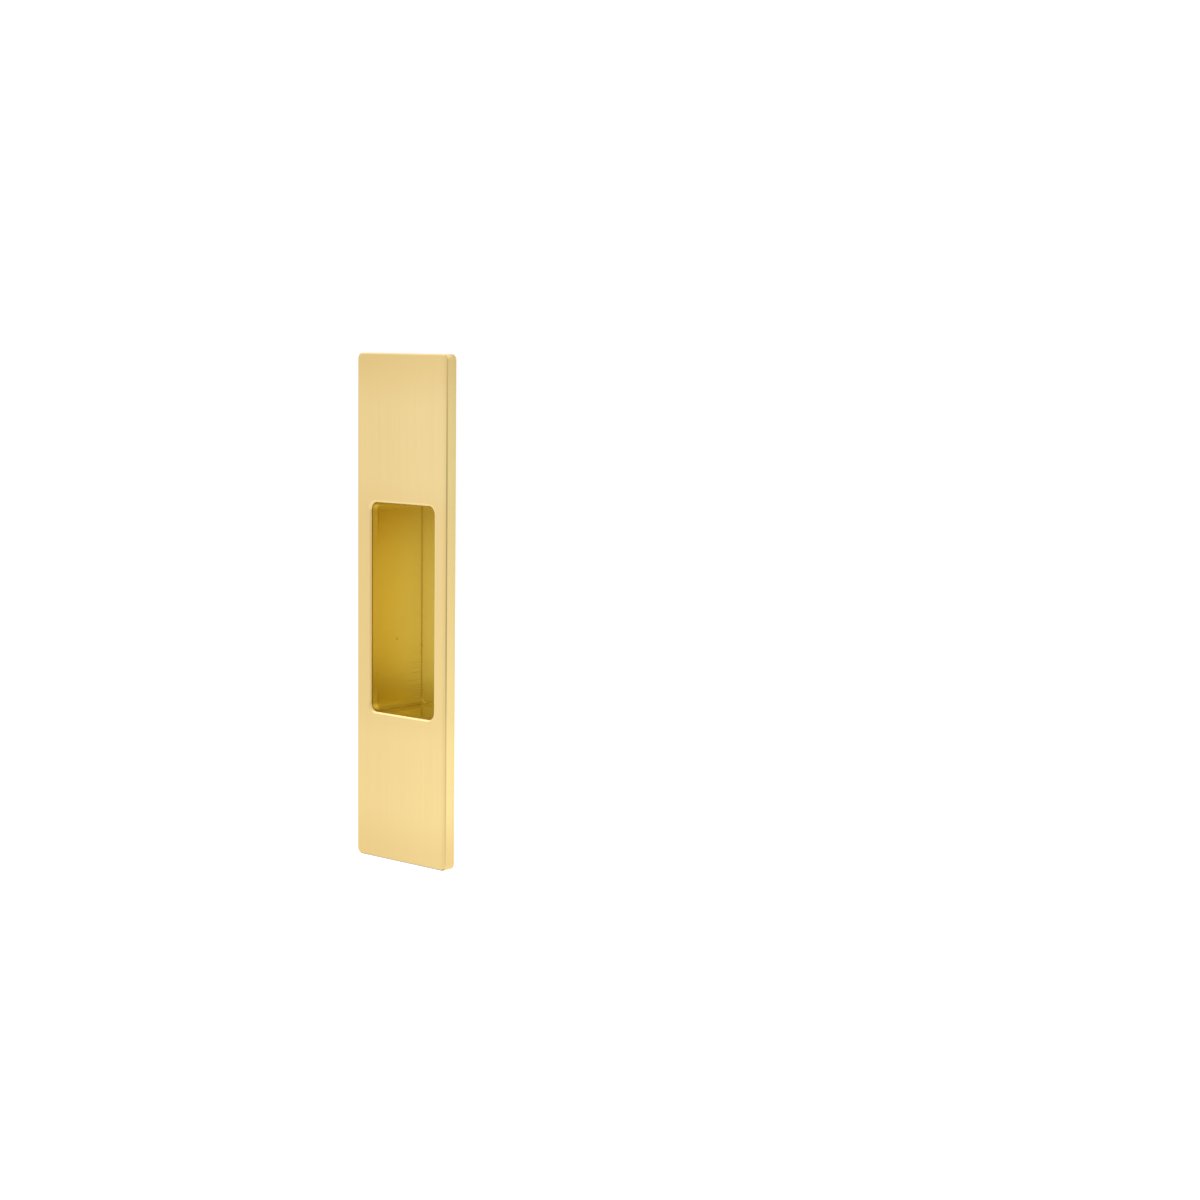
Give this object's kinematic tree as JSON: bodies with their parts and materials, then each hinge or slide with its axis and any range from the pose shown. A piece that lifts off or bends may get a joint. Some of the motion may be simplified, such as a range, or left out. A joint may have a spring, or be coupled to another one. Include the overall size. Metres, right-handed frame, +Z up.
{
  "type": "flush finger pull",
  "caption": "Slim rectangular brass plate with a deep rectangular finger pocket, let into a door's edge or face to pull it by hand.",
  "frame": {"origin": "middle of the plate's back, in the plane that seats on the door's edge", "axes": "+Z up along the plate, +X to the right across its face, +Y into the door, so the face looks along -Y"},
  "size_m": [0.025, 0.0158, 0.1],
  "materials": {
    "satin_brass": "satin, brushed lengthwise on the face"
  },
  "bodies": {
    "root": {"finger_pull": "satin_brass"}
  },
  "joints": []
}
